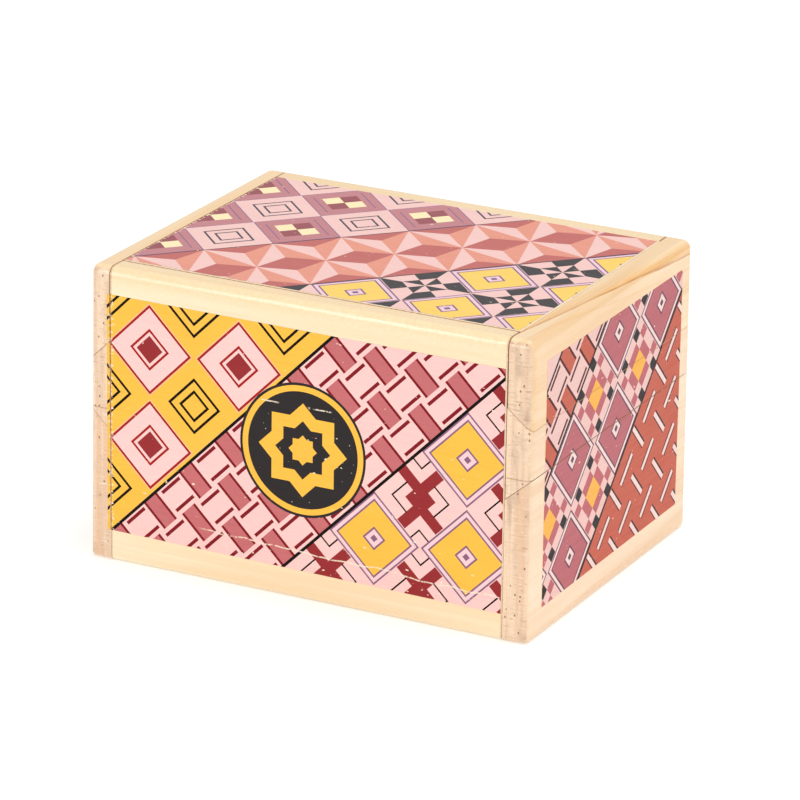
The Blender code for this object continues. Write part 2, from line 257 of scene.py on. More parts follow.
# ---- materials ----
class Graph:
    """A material's node graph, with short calls for the nodes used here."""

    def __init__(self, name):
        self.material = bpy.data.materials.new(name)
        self.material.use_nodes = True
        self.tree = self.material.node_tree
        self.shader = self.tree.nodes["Principled BSDF"]
        self.coords = self.tree.nodes.new("ShaderNodeTexCoord")

    def plug(self, socket, value):
        """Link a socket, or set its value when a plain number or colour is given."""
        if isinstance(value, bpy.types.NodeSocket):
            self.tree.links.new(value, socket)
        else:
            socket.default_value = value

    def node(self, kind, inputs):
        """A new node with its inputs linked or set."""
        node = self.tree.nodes.new("ShaderNode" + kind)
        for socket, value in inputs.items():
            self.plug(node.inputs[socket], value)
        return node

    def scaled(self, scale, shift):
        """Object coordinates, in metres, stretched by a scale and shifted."""
        place = self.coords.outputs["Object"]
        node = self.node("Mapping", {"Vector": place, "Scale": scale, "Location": shift})
        return node.outputs["Vector"]

    def noise(self, scale, shift=(0.0, 0.0, 0.0), detail=2, roughness=0.5, distortion=0.0):
        """Noise whose lumps measure about 1 / scale along each axis, in metres."""
        inputs = {
            "Vector": self.scaled(scale, shift),
            "Scale": 1.0,
            "Detail": detail,
            "Roughness": roughness,
            "Distortion": distortion,
        }
        return self.node("TexNoise", inputs).outputs["Fac"]

    def math(self, operation, *values):
        node = self.node("Math", dict(enumerate(values)))
        node.operation = operation
        return node.outputs[0]

    def ease(self, value, low, high, to_low=0.0, to_high=1.0):
        """Map a value from one range to another with a smooth step, clamped."""
        inputs = {
            "Value": value,
            "From Min": low,
            "From Max": high,
            "To Min": to_low,
            "To Max": to_high,
        }
        node = self.node("MapRange", inputs)
        node.interpolation_type = "SMOOTHSTEP"
        return node.outputs["Result"]

    def mix(self, factor, first, second):
        node = self.node("Mix", {0: factor})
        node.data_type = "RGBA"
        self.plug(node.inputs[6], first)
        self.plug(node.inputs[7], second)
        return node.outputs[2]

    def layered(self, colour, *layers):
        """A colour with others laid over it in turn: (share, colour) for each."""
        for share, tint in layers:
            colour = self.mix(share, colour, tint)
        return colour

    def product(self, *factors):
        """All the factors multiplied together."""
        total = factors[0]
        for factor in factors[1:]:
            total = self.math("MULTIPLY", total, factor)
        return total

    def near(self, value, centre, full, none, strength=1.0):
        """The strength where a value is within full of a centre, falling to 0 at none from it."""
        off = self.math("ABSOLUTE", self.math("SUBTRACT", value, centre))
        return self.ease(off, full, none, strength, 0.0)

    def component(self, vector, axis):
        """One of the three numbers of a vector."""
        return self.node("SeparateXYZ", {0: vector}).outputs[axis]

    def place(self, axis):
        """Where a point lies along one axis of the frame, in metres."""
        return self.component(self.coords.outputs["Object"], axis)

    def cells_of(self, scale, shift, share, size):
        """Small scattered dots: 1 inside a dot, 0 elsewhere.  Only some cells hold one."""
        node = self.node("TexVoronoi", {"Vector": self.scaled(scale, shift), "Scale": 1.0})
        dot = self.ease(node.outputs["Distance"], size * 0.6, size, 1.0, 0.0)
        chosen = self.ease(self.component(node.outputs["Color"], 0), share, share + 0.02)
        return self.product(dot, chosen)

    def surface(self, colour, roughness, sheen=0.5):
        """Set the shader's colour and roughness, and how strongly it mirrors."""
        self.plug(self.shader.inputs["Base Color"], colour)
        self.plug(self.shader.inputs["Roughness"], roughness)
        self.shader.inputs["Specular IOR Level"].default_value = sheen

    def bump(self, height, strength, distance):
        node = self.node("Bump", {"Strength": strength, "Distance": distance, "Height": height})
        self.plug(self.shader.inputs["Normal"], node.outputs["Normal"])


def srgb(*levels):
    """A colour given as red, green and blue from 0 to 255, as the shader wants it."""
    shares = [level / 255 for level in levels]
    linear = [s / 12.92 if s <= 0.04045 else ((s + 0.055) / 1.055) ** 2.4 for s in shares]
    return (*linear, 1.0)


def stretch(axis, along, across):
    """A scale that is small along one axis, so that a texture runs out into fibres along it."""
    scale = [across, across, across]
    scale[axis] = along
    return tuple(scale)


def add_stains_and_shade(g, colour, places, scale):
    """Let a colour in near some planes: (axis, position, reach, strength, colour) for each.

    The colours are stains and dirt at the joints, and painted shade along the top edge of the
    front and back boards.  Only the outside of the box is tinted.  scale is that of the noise
    that breaks the tint up.
    """
    broken = g.noise((scale, scale, scale), (2.0, 5.0, 3.0), detail=3, roughness=0.6)
    outwards = None
    for axis, limit in enumerate(CAD_BOX[1]):
        past = g.math("SUBTRACT", g.math("ABSOLUTE", g.place(axis)), limit)
        outwards = past if outwards is None else g.math("MAXIMUM", outwards, past)
    outside = g.ease(outwards, -0.75 * MM, -0.5 * MM)
    share = g.product(g.ease(broken, 0.36, 0.60, 0.60, 1.0), outside)
    for axis, position, reach, strength, stain in places:
        near = g.near(g.place(axis), position, 0.25 * reach, reach, strength)
        colour = g.mix(g.product(near, share), colour, stain)
    return colour


def wood(name, axis, light, dark, end_colour, ring=False, rough=0.22, seed=0.0, stains=()):
    """Sanded wood: broad soft rings, fine fibres and pores, and end grain on its ends."""
    g = Graph(name)
    shift = (seed, seed * 1.7, seed * 0.6)
    broad = g.noise(stretch(axis, 9, 120), shift, distortion=0.5)
    rings = g.noise(stretch(axis, 16, 640), shift, detail=4, roughness=0.6)
    fibres = g.noise(stretch(axis, 150, 5200), shift)
    pores = g.noise(stretch(axis, 900, 5200), shift, detail=1)
    figure = g.math("ADD", g.product(broad, 0.6), g.product(rings, 0.4))
    colour = g.layered(
        light,
        (g.ease(figure, 0.40, 0.66), dark),
        (g.ease(fibres, 0.50, 0.74, 0.0, 0.14), dark),
        (g.ease(pores, 0.70, 0.78, 0.0, 0.30), end_colour),
    )
    if ring:
        colour = growth_ring(g, colour, rings, fibres)
    facing = g.component(g.coords.outputs["Normal"], axis)
    is_end = g.ease(g.math("ABSOLUTE", facing), 0.50, 0.80)
    colour = g.mix(is_end, colour, end_grain(g, end_colour, shift))
    # dirt at the joints and, on the front and back boards, painted shade along the top edge
    if stains:
        colour = add_stains_and_shade(g, colour, stains, 1500)
    g.surface(colour, g.ease(rings, 0.3, 0.7, rough - 0.05, rough + 0.08))
    g.bump(g.math("ADD", fibres, g.product(pores, 0.6)), 0.20, 0.07 * MM)
    return g.material


def end_grain(g, end_colour, shift):
    """Sawn and sanded end grain: upright bands, fine level ticks, grey stains and dark specks."""
    bands = g.noise((900, 900, 26), shift, detail=3, roughness=0.55, distortion=0.2)
    stain = g.noise((330, 330, 120), shift, detail=4, roughness=0.6, distortion=0.9)
    ticks = g.noise((420, 420, 2900), shift, detail=3, roughness=0.65)
    cuts = g.noise((900, 900, 3400), (1.0, 4.0, 2.0), roughness=0.6)
    sawn = g.noise((300, 300, 1500), shift, detail=4, roughness=0.7, distortion=0.5)
    patches = g.noise((300, 300, 190), (4.0, 1.0, 2.0))
    specks = g.cells_of((1250, 1250, 900), shift, 0.70, 0.24)
    rough = g.ease(patches, 0.38, 0.60, 0.35, 1.0)
    tick = g.math("MAXIMUM", g.ease(ticks, 0.56, 0.68), g.ease(cuts, 0.60, 0.70, 0.0, 0.8))
    return g.layered(
        END_PALE,
        (g.ease(bands, 0.40, 0.62), end_colour),
        (g.ease(bands, 0.58, 0.68, 0.0, 0.40), srgb(240, 184, 134)),
        (g.ease(stain, 0.50, 0.70, 0.0, 0.62), srgb(192, 160, 134)),
        (g.product(tick, rough, 0.60), srgb(176, 134, 106)),
        (g.ease(ticks, 0.30, 0.42, 0.45, 0.0), srgb(255, 242, 224)),
        (g.ease(sawn, 0.64, 0.76, 0.0, 0.60), srgb(186, 128, 92)),
        (g.product(specks, 0.85), srgb(138, 80, 56)),
    )


# The growth ring on the right rail, measured across the rail's outer top edge.
RING_START = -2.3 * MM  # where it lies at the back
RING_RUN = 6.9 * MM     # how much further in it lies at the front
RING_CURVE = 1.4
RING_WANDER = 1.1 * MM
RING_LINE = -2.3 * MM   # a faint line beside it, from the ring's own edge


def growth_ring(g, colour, rings, fibres):
    """One amber growth ring that runs out over the top edge of the board towards the back.

    across is measured round the edge: inwards over the top, and negative down the outer side.
    """
    along = g.math("DIVIDE", g.math("SUBTRACT", HALF_D, g.place(1)), 2 * HALF_D)
    in_from_side = g.math("SUBTRACT", HALF_L, g.place(0))
    across = g.math("ADD", in_from_side, g.math("SUBTRACT", g.place(2), HEIGHT))
    run_out = g.math("MULTIPLY_ADD", g.math("POWER", along, RING_CURVE), RING_RUN, RING_START)
    wander = g.product(g.math("SUBTRACT", rings, 0.5), RING_WANDER)
    inside = g.math("SUBTRACT", across, g.math("ADD", run_out, wander))
    body = g.product(
        g.ease(inside, 0.0, 0.15 * MM),
        g.ease(inside, 0.3 * MM, 3.8 * MM, 1.0, 0.0),
    )
    edge = g.product(
        g.ease(inside, -0.12 * MM, 0.05 * MM),
        g.ease(inside, 0.15 * MM, 0.7 * MM, 1.0, 0.0),
    )
    outer_line = g.near(inside, RING_LINE, 0.05 * MM, 0.5 * MM)
    speckle = g.ease(fibres, 0.35, 0.65, 0.55, 1.0)
    return g.layered(
        colour,
        (g.product(body, speckle, 0.95), srgb(242, 186, 112)),
        (g.product(outer_line, speckle, 0.40), srgb(240, 188, 126)),
        (g.product(edge, speckle, 0.85), srgb(202, 134, 70)),
    )


def ink(name, colour, axis, flecks, worn, stains, scratched=False):
    """Ink printed on sanded wood: the fibres show through, and it is missing in small flecks.

    flecks says how many, from 0 to 1, and worn where more is missing: (axis, position, reach,
    strength).
    """
    g = Graph(name)
    bare = srgb(252, 234, 208)
    fibres = g.noise(stretch(axis, 130, 3600), detail=3, roughness=0.6)
    grain = g.noise((2600, 2600, 2600))
    cloud = g.noise(stretch(axis, 60, 160))
    dull = tuple(c * 0.80 for c in colour[:3]) + (1.0,)
    pale = tuple(min(1.0, c * 1.10 + 0.001) for c in colour[:3]) + (1.0,)
    shade = g.layered(
        colour,
        (g.ease(fibres, 0.46, 0.72, 0.0, 0.36), dull),
        (g.ease(grain, 0.52, 0.72, 0.0, 0.36), pale),
        (g.ease(cloud, 0.40, 0.70, 0.0, 0.20), pale),
    )
    spots = g.noise(stretch(axis, 620, 1300), (3.1, 1.7, 5.2), roughness=0.6)
    limit = 0.752 - 0.035 * flecks
    missing = g.ease(spots, limit, limit + 0.012)
    chips = g.noise(stretch(axis, 1100, 1900), (7.0, 2.0, 1.0), detail=3, roughness=0.65)
    for worn_axis, position, reach, strength in worn:
        near = g.near(g.place(worn_axis), position, 0.0, reach, strength)
        gone = g.ease(g.math("ADD", chips, near), 0.70, 0.73)
        missing = g.math("MAXIMUM", missing, gone)
    if scratched:
        missing = g.math("MAXIMUM", missing, g.product(scratch(g, chips), 0.85))
    shade = add_stains_and_shade(g, g.mix(missing, shade, bare), stains, 1900)
    g.surface(shade, g.ease(fibres, 0.35, 0.70, 0.36, 0.50), 0.09)
    g.bump(g.math("SUBTRACT", fibres, missing), 0.12, 0.05 * MM)
    return g.material


LONG_START = -18.5 * MM   # the long scratch runs from here to the right
LONG_Z = 7.9 * MM         # its height at the middle of the front
LONG_SLOPE = -0.030
LONG_WANDER = 2.2 * MM
SHORT_Z = 32.5 * MM       # the height of the two short scratches
SHORT_CENTRE = -1.8 * MM  # the point half-way between them
SHORT_APART = 4.7 * MM    # and how far from it the middle of each lies


def scratch(g, chips):
    """A long shallow scratch low on the front and two short ones high up: 1 where ink is gone."""
    x, y, z = (g.place(axis) for axis in range(3))
    wave = g.noise((110, 0, 0))
    height = g.math("MULTIPLY_ADD", x, LONG_SLOPE, LONG_Z)
    height = g.math("ADD", height, g.product(g.math("SUBTRACT", wave, 0.5), LONG_WANDER))
    started = g.ease(x, LONG_START - 1.5 * MM, LONG_START + 1.5 * MM)
    low = g.product(g.near(z, height, 0.06 * MM, 0.17 * MM), started)
    aside = g.math("ABSOLUTE", g.math("SUBTRACT", x, SHORT_CENTRE))
    pair = g.near(aside, SHORT_APART, 1.2 * MM, 1.8 * MM)
    high = g.product(g.near(z, SHORT_Z, 0.07 * MM, 0.16 * MM), pair)
    broken = g.ease(chips, 0.40, 0.50)
    on_front_face = g.math("LESS_THAN", y, 0.0)
    return g.product(g.math("MAXIMUM", low, high), broken, on_front_face)


def ground_steel(name):
    """Steel ground along its length."""
    g = Graph(name)
    marks = g.noise((9000, 9000, 500))
    colour = g.mix(g.ease(marks, 0.4, 0.6), srgb(178, 180, 184), srgb(205, 206, 208))
    g.surface(colour, g.ease(marks, 0.3, 0.7, 0.24, 0.38))
    g.shader.inputs["Metallic"].default_value = 1.0
    g.bump(marks, 0.1, 0.02 * MM)
    return g.material


# ---- printed patterns ----
FRONT_INKS = {
    "yellow": (255, 193, 74),
    "blush": (255, 206, 200),
    "halo": (252, 190, 152),
    "pink": (254, 204, 198),
    "rose": (199, 111, 113),
    "red": (152, 46, 49),
    "crimson": (166, 28, 28),
    "shade": (132, 20, 32),
    "black": (46, 42, 42),
    "line": (12, 4, 2),
    "mauve": (140, 98, 124),
    "pale": (246, 206, 210),
}
END_INKS = {
    "pink": (242, 200, 192),
    "rose": (194, 104, 110),
    "plum": (190, 106, 112),
    "brick": (201, 98, 77),
    "red": (86, 14, 24),
    "black": (42, 34, 38),
    "line": (18, 12, 18),
    "mauve": (104, 64, 92),
    "pale": (248, 218, 210),
    "amber": (255, 184, 78),
}
TOP_INKS = {
    "yellow": (253, 210, 110),
    "pink": (244, 202, 196),
    "dusty": (197, 135, 140),
    "cream": (254, 236, 190),
    "wine": (158, 92, 98),
    "salmon": (231, 156, 136),
    "rose": (196, 113, 108),
    "black": (76, 72, 74),
    "mauve": (134, 106, 142),
    "pale": (243, 205, 212),
    "grey": (84, 80, 90),
}


def clip(points, nx, ny, limit):
    """The part of a convex polygon where nx * x + ny * y is at most limit."""
    kept = []
    for i, here in enumerate(points):
        ahead = points[(i + 1) % len(points)]
        d_here = nx * here[0] + ny * here[1] - limit
        d_ahead = nx * ahead[0] + ny * ahead[1] - limit
        if d_here <= 0:
            kept.append(here)
        if (d_here < 0 < d_ahead) or (d_ahead < 0 < d_here):
            t = d_here / (d_here - d_ahead)
            kept.append((here[0] + t * (ahead[0] - here[0]), here[1] + t * (ahead[1] - here[1])))
    return kept


def without_repeats(points):
    """A polygon without corners that lie on the one before."""
    kept = []
    for point in points:
        if not kept or math.dist(point, kept[-1]) > SAME_SPOT:
            kept.append(point)
    if len(kept) > 1 and math.dist(kept[0], kept[-1]) <= SAME_SPOT:
        kept.pop()
    return kept


def signed_area(points):
    """The area of a polygon, negative where its corners run clockwise."""
    ahead = points[1:] + points[:1]
    return sum(p[0] * q[1] - q[0] * p[1] for p, q in zip(points, ahead)) / 2


class Pattern:
    """Convex ink shapes on one face, later ones over earlier ones.

    Shapes are drawn in pattern squares, in axes turned 45 degrees: a runs up to the right and b
    up to the left.  They are kept in the face's own millimetres.  cell is half the width and half
    the height of one square that stands on its corner, and lean is how far the printed sheet
    lies askew: the drift in u for each millimetre up, and the drift in v for each one along.
    """

    def __init__(self, origin, cell, lean):
        self.origin = origin
        self.cell = cell
        self.lean = lean
        self.shapes = []
        self.band = (-FAR, FAR)

    def to_face(self, a, b):
        """A point of the pattern in the face's own millimetres."""
        u = self.cell[0] * (a - b)
        v = self.cell[1] * (a + b)
        return (self.origin[0] + u + self.lean[0] * v, self.origin[1] + v + self.lean[1] * u)

    def fill(self, points, ink_name):
        """Add a shape, cut to the current band."""
        low, high = self.band
        points = clip(clip(points, 0, 1, high), 0, -1, -low)
        if len(points) > 2:
            self.fill_face([self.to_face(a, b) for a, b in points], ink_name)

    def fill_face(self, points, ink_name):
        """Add a shape given in the face's own millimetres, turned anticlockwise."""
        if signed_area(points) < 0:
            points = points[::-1]
        self.shapes.append((points, ink_name))

    def bar(self, a0, a1, b0, b1, ink_name):
        self.fill([(a0, b0), (a1, b0), (a1, b1), (a0, b1)], ink_name)

    def block(self, a, b, half_a, half_b, ink_name):
        self.bar(a - half_a, a + half_a, b - half_b, b + half_b, ink_name)

    def square(self, a, b, half, ink_name):
        self.block(a, b, half, half, ink_name)

    def ring(self, a, b, half, line_ink, fill_ink, width=LINE):
        """A square outline with the square inside it filled."""
        self.square(a, b, half, line_ink)
        self.square(a, b, half - width, fill_ink)

    def start_band(self, low, high, ground):
        """Begin a diagonal band.  What follows stays inside it."""
        self.band = (low, high)
        self.bar(-FAR, FAR, low, high, ground)

    def rule(self, ink_name, width, *edges):
        """Lines along the edges of bands."""
        self.band = (-FAR, FAR)
        for b in edges:
            self.bar(-FAR, FAR, b - width / 2, b + width / 2, ink_name)


def cells(low, high, first=0.0):
    """Column, row and middle of every pattern square that a band can touch."""
    for column in COLUMNS:
        for row in range(-6, 7):
            middle = row + first
            if low - 1 < middle < high + 1:
                yield column, row, middle


def diamond_band(p, low, high):
    """Pink squares with a red middle, and yellow ones with two black outlines."""
    p.start_band(low, high, "yellow")
    for a, row, b in cells(low, high):
        if (a + row) % 2 == 0:
            p.square(a, b, 0.482, "halo")
            p.ring(a, b, 0.467, "crimson", "blush")
            p.ring(a, b, 0.220, "crimson", "blush")
            p.square(a, b, 0.146, "red")
        else:
            p.ring(a, b, 0.294, "line", "yellow", 0.038)
            p.ring(a, b, 0.170, "line", "yellow", 0.038)


def weave_band(p, low, high, first, brick, tile, edge):
    """Basket weave: upright bricks with dark sides, and tiles with a dark bar at each end."""
    step, half_h, half_w, side_w = 0.80, 0.245, 0.145, 0.040
    bar_out, half_bar = 0.16, 0.025
    p.start_band(low, high, tile)
    for row in range(8):
        middle = low + half_h * (2 * row + 1)
        for column in range(-9, 10):
            a = first + step * (column + 0.5 * (row % 2))
            for half, ink_name in ((half_w, edge), (half_w - side_w, brick)):
                p.block(a, middle, half, half_h, ink_name)
            start = a + half_w + 0.07
            end = a + step - half_w - 0.045
            for side in (-1, 1):
                level = middle + side * bar_out
                p.bar(start, end, level - half_bar, level + half_bar, edge)


def framed_square(p, a, b, ground):
    """A plain square in a double outline, with a small framed square in its middle."""
    for half, ink_name in (
        (0.490, "mauve"),
        (0.465, "pale"),
        (0.415, "mauve"),
        (0.390, ground),
        (0.125, "mauve"),
        (0.098, "pale"),
        (0.040, "mauve"),
    ):
        p.square(a, b, half, ink_name)


def angle_line(p, a, b, reach_a, reach_b):
    """Two thin lines that meet at a corner and run off along a and along b."""
    thin = 0.012
    a0, a1 = sorted((a, a + reach_a))
    b0, b1 = sorted((b, b + reach_b))
    p.bar(a0 - thin, a1 + thin, b - thin, b + thin, "line")
    p.bar(a - thin, a + thin, b0 - thin, b1 + thin, "line")


def cross_band(p, low, high):
    """Yellow framed squares, and turning crosses with thin black angles."""
    p.start_band(low, high, "pink")
    arm, core = 0.165, 0.5
    angles = ((-0.31, 0.30, 0.31, -0.30), (0.33, 0.31, 0.17, 0.19))
    for a, row, b in cells(low, high):
        if (a + row) % 2:
            framed_square(p, a, b, "yellow")
            continue
        p.square(a, b, arm, "red")
        for way in (1, -1):
            p.bar(a, a + way * arm, b, b + way * core, "red")
            p.bar(a, a + way * core, b, b + way * arm, "red")
        for to_a, to_b, reach_a, reach_b in angles:
            for way in (1, -1):
                angle_line(p, a + way * to_a, b + way * to_b, way * reach_a, way * reach_b)


def check_band(p, low, high):
    """Pink squares with two grey outlines, and dusty ones with a check of four in the middle."""
    out, thin, half = 0.36, 0.008, 0.26
    p.start_band(low, high, "pink")
    for a, row, b in cells(low, high):
        if (a + row) % 2 == 0:
            p.ring(a, b, 0.298, "grey", "pink", 0.032)
            p.ring(a, b, 0.172, "grey", "pink", 0.032)
        else:
            p.ring(a, b, 0.50, "mauve", "dusty", 0.014)
            for side in (-1, 1):
                p.block(a + side * out, b, thin, out, "mauve")
            for way in (-1, 1):
                p.bar(a, a + way * half, b, b + way * half, "wine")
                p.bar(a, a + way * half, b, b - way * half, "cream")


def star_band(p, low, high):
    """Two rows of folded stars: rose lozenges between salmon and pink splinters."""
    p.start_band(low, high, "rose")
    middle = (low + high) / 2
    edge_dip, lozenge = 0.30, 0.29
    for column in COLUMNS:
        here = (column, middle)
        after = (column + 1, middle)
        for side, edge in ((1, high), (-1, low)):
            tip = (column, edge - side * edge_dip)
            corner = (column + 0.5, edge)
            before = (column - 0.5, edge)
            shoulder = (column + 0.5, middle + side * lozenge)
            p.fill([before, tip, here], "pink")
            p.fill([corner, tip, here], "salmon")
            p.fill([corner, shoulder, here], "pink")
            p.fill([corner, shoulder, after], "salmon")


def pinwheel_square(p, a, b):
    """A square cut by its diagonals into black and pink blades, with a small pinwheel inside."""
    outer, inner = 0.5, 0.25
    p.square(a, b, outer, "pink")

    def turned(x, y, quarter):
        for _ in range(quarter):
            x, y = y, -x
        return (a + x, b + y)

    blade = ((0.0, outer), (outer, outer), (inner, inner), (0.0, inner))
    splinter = ((inner, inner), (inner, 0.0), (0.0, 0.0))
    for quarter in range(4):
        p.fill([turned(x, y, quarter) for x, y in blade], "black")
        p.fill([turned(x, y, quarter) for x, y in splinter], "black")


def pinwheel_band(p, low, high):
    """Yellow framed squares and black pinwheels."""
    p.start_band(low, high, "pink")
    for a, row, b in cells(low, high, high % 1 - 0.5):
        if (a + row) % 2:
            pinwheel_square(p, a, b)
        else:
            framed_square(p, a, b, "yellow")


def chequer_band(p, low, high):
    """Plum framed squares, and six by six chequers with an amber middle."""
    p.start_band(low, high, "pink")
    rows = (".k..k.", "r.rr.r", ".rAAr.")
    inks = {"k": "black", "r": "rose", "A": "amber"}
    for a, row, b in cells(low, high):
        if (a + row) % 2 == 0:
            framed_square(p, a, b, "plum")
            continue
        for line in range(6):
            letters = rows[min(line, 5 - line)]
            for place, letter in enumerate(letters):
                x = a - 0.5 + place / 6
                y = b - 0.5 + line / 6
                if letter in inks:
                    p.bar(x, x + 1 / 6, y, y + 1 / 6, inks[letter])


def dash_band(p, low, high):
    """Brick ground with pale dashes that stand and lie by turns, each with a dark side."""
    p.start_band(low, high, "brick")
    half_l, half_w, shade = 0.25, 0.036, 0.030
    first_a, first_b, lying = 0.28, 0.29, 0.48
    for row in range(9):
        b = high - first_b - 0.5 * row
        for column in COLUMNS:
            a = first_a + column - 0.5 * (row % 2)
            p.bar(a - half_w - 0.7 * shade, a - half_w, b - half_l, b + half_l, "red")
            p.bar(a + half_w, a + half_w + shade, b - half_l, b + half_l, "black")
            p.block(a, b, half_w, half_l, "pale")
            p.block(a + lying, b, half_l, half_w + shade, "red")
            p.block(a + lying, b, half_l, half_w, "pale")


def regular(x, y, radius, sides, turn=0.0):
    """Corners of a regular polygon: many sides make a circle."""
    turns = [turn + 2 * math.pi * side / sides for side in range(sides)]
    return [(x + radius * math.cos(angle), y + radius * math.sin(angle)) for angle in turns]


def medallion(p, x, y):
    """A round black field in a yellow border, with a plain eight-pointed star."""
    for radius, ink_name in ((11.3, "black"), (10.85, "yellow"), (9.85, "black")):
        p.fill_face(regular(x, y, radius, 72), ink_name)
    for half, ink_name in ((5.6, "yellow"), (3.5, "black"), (1.8, "yellow")):
        p.fill_face(regular(x, y, half * ROOT2, 4, math.pi / 4), ink_name)
        p.fill_face(regular(x, y, half * ROOT2, 4), ink_name)


def front_pattern():
    p = Pattern((-12.09, 20.97), (8.14, 8.124), (-0.0043, -0.0049))
    upper, lower = 0.46, -1.49
    diamond_band(p, upper, FAR)
    weave_band(p, lower, upper, 0.44, "rose", "pink", "shade")
    cross_band(p, -FAR, lower)
    p.rule("line", 0.044, upper, lower)
    medallion(p, -0.55, 25.2)
    return p


def back_pattern():
    p = Pattern((6.0, 23.0), (8.14, 8.14), (0.003, -0.003))
    upper, lower = 0.5, -1.46
    cross_band(p, upper, FAR)
    weave_band(p, lower, upper, 0.1, "rose", "pink", "shade")
    diamond_band(p, -FAR, lower)
    p.rule("line", 0.044, upper, lower)
    return p


def top_pattern():
    p = Pattern((-10.88, 10.34), (8.087, 8.335), (-0.0013, 0.0070))
    upper, lower = -0.51, -2.36
    check_band(p, upper, FAR)
    star_band(p, lower, upper)
    pinwheel_band(p, -FAR, lower)
    p.rule("grey", 0.024, upper)
    p.rule("black", 0.03, lower)
    return p


def end_pattern(origin):
    p = Pattern(origin, (8.136, 8.20), (0.006, 0.0034))
    plain, upper, lower = 2.495, 1.515, -0.51
    weave_band(p, upper, plain, 0.31, "brick", "pink", "red")
    p.start_band(plain, FAR, "pink")
    chequer_band(p, lower, upper)
    dash_band(p, -FAR, lower)
    p.rule("line", 0.046, plain, upper, lower)
    return p


class Window:
    """A four-sided opening with upright sides, in millimetres.

    Its low and high edges are given at the left side and at the right side.  It also turns points
    of the face into levels, where both edges are straight and level, and back.
    """

    def __init__(self, left, right, low, high):
        self.left = left
        self.right = right
        self.low = low
        self.high = high
        self.tall = high[0] - low[0]

    def edges_at(self, u):
        """The low edge at u, and how tall the opening is there."""
        t = (u - self.left) / (self.right - self.left)
        low = self.low[0] + t * (self.low[1] - self.low[0])
        return low, self.high[0] + t * (self.high[1] - self.high[0]) - low

    def to_level(self, u, v):
        low, height = self.edges_at(u)
        return (u, (v - low) / height * self.tall)

    def from_level(self, u, level):
        low, height = self.edges_at(u)
        return (u, low + level / self.tall * height)

    def cut(self, points):
        """The part of a convex polygon inside, in levels."""
        points = clip(clip(points, 1, 0, self.right), -1, 0, -self.left)
        points = clip(points, 0, 1, max(self.high) + 1)
        points = clip(points, 0, -1, 1 - min(self.low))
        points = [self.to_level(u, v) for u, v in points]
        points = without_repeats(clip(clip(points, 0, 1, self.tall), 0, -1, 0.0))
        return points if len(points) > 2 and signed_area(points) > LEAST_AREA else []


def print_sheet(name, pattern, window, place, body, looks):
    """The part of a pattern inside a window, as one thin closed sheet of ink.

    place(u, v, up) puts a point of the face in the frame, up metres above the wood.
    """
    left, right, tall = window.left, window.right, window.tall
    shapes = [([(left, 0), (right, 0), (right, tall), (left, tall)], pattern.shapes[0][1])]
    for points, ink_name in pattern.shapes:
        points = window.cut(points)
        if points:
            shapes.append((points, ink_name))
    corners = []
    faces = []
    for points, _ in shapes:
        faces.append(list(range(len(corners), len(corners) + len(points))))
        corners.extend(Vector(point) for point in points)
    verts, _, cut_faces, _, _, owners = delaunay_2d_cdt(corners, [], faces, INSIDE, MERGE)
    used = sorted({ink_name for _, ink_name in shapes})
    bm = bmesh.new()
    spots = [window.from_level(v.x, v.y) for v in verts]
    top = [bm.verts.new(place(u * MM, v * MM, INK_T)) for u, v in spots]
    bottom = [bm.verts.new(place(u * MM, v * MM, -INK_SINK)) for u, v in spots]
    for corner_ids, owner in zip(cut_faces, owners):
        if not owner:
            continue
        face = bm.faces.new([top[i] for i in corner_ids])
        face.material_index = used.index(shapes[max(owner)][1])
        under = bm.faces.new([bottom[i] for i in reversed(corner_ids)])
        under.material_index = face.material_index
    below = dict(zip(top, bottom))
    rim = [e for e in bm.edges if e.is_boundary and all(v in below for v in e.verts)]
    for edge in rim:
        first, second = edge.verts
        side = bm.faces.new((first, second, below[second], below[first]))
        side.material_index = edge.link_faces[0].material_index
    bmesh.ops.delete(bm, geom=[v for v in bm.verts if not v.link_faces], context="VERTS")
    obj = link_mesh(name, bm)
    for ink_name in used:
        obj.data.materials.append(looks[ink_name])
    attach(obj, body)


def ink_set(prefix, inks, axis, **wear):
    """One material for each ink of a face.  Flecks are fewer on the inks not listed."""
    flecks = {"black": 1.0, "red": 0.8, "rose": 0.6, "wine": 0.6, "brick": 0.7, "plum": 0.5}
    return {
        name: ink(f"{prefix}_{name}", srgb(*colour), axis, flecks.get(name, 0.3), **wear)
        for name, colour in inks.items()
    }


# ---- pieces ----
PANEL_WOOD = (srgb(254, 236, 202), srgb(247, 219, 176), srgb(214, 176, 140))
END_WOOD = (srgb(253, 226, 192), srgb(240, 202, 160), srgb(229, 195, 163))
RIM_WOOD = (srgb(253, 225, 184), srgb(243, 202, 152), srgb(229, 195, 163))
BASSWOOD = (srgb(226, 198, 154), srgb(204, 168, 120), srgb(176, 136, 94))
WALNUT = (srgb(150, 106, 70), srgb(112, 74, 46), srgb(84, 54, 34))
DIRT = srgb(168, 118, 74)
END_PALE = srgb(243, 213, 181)


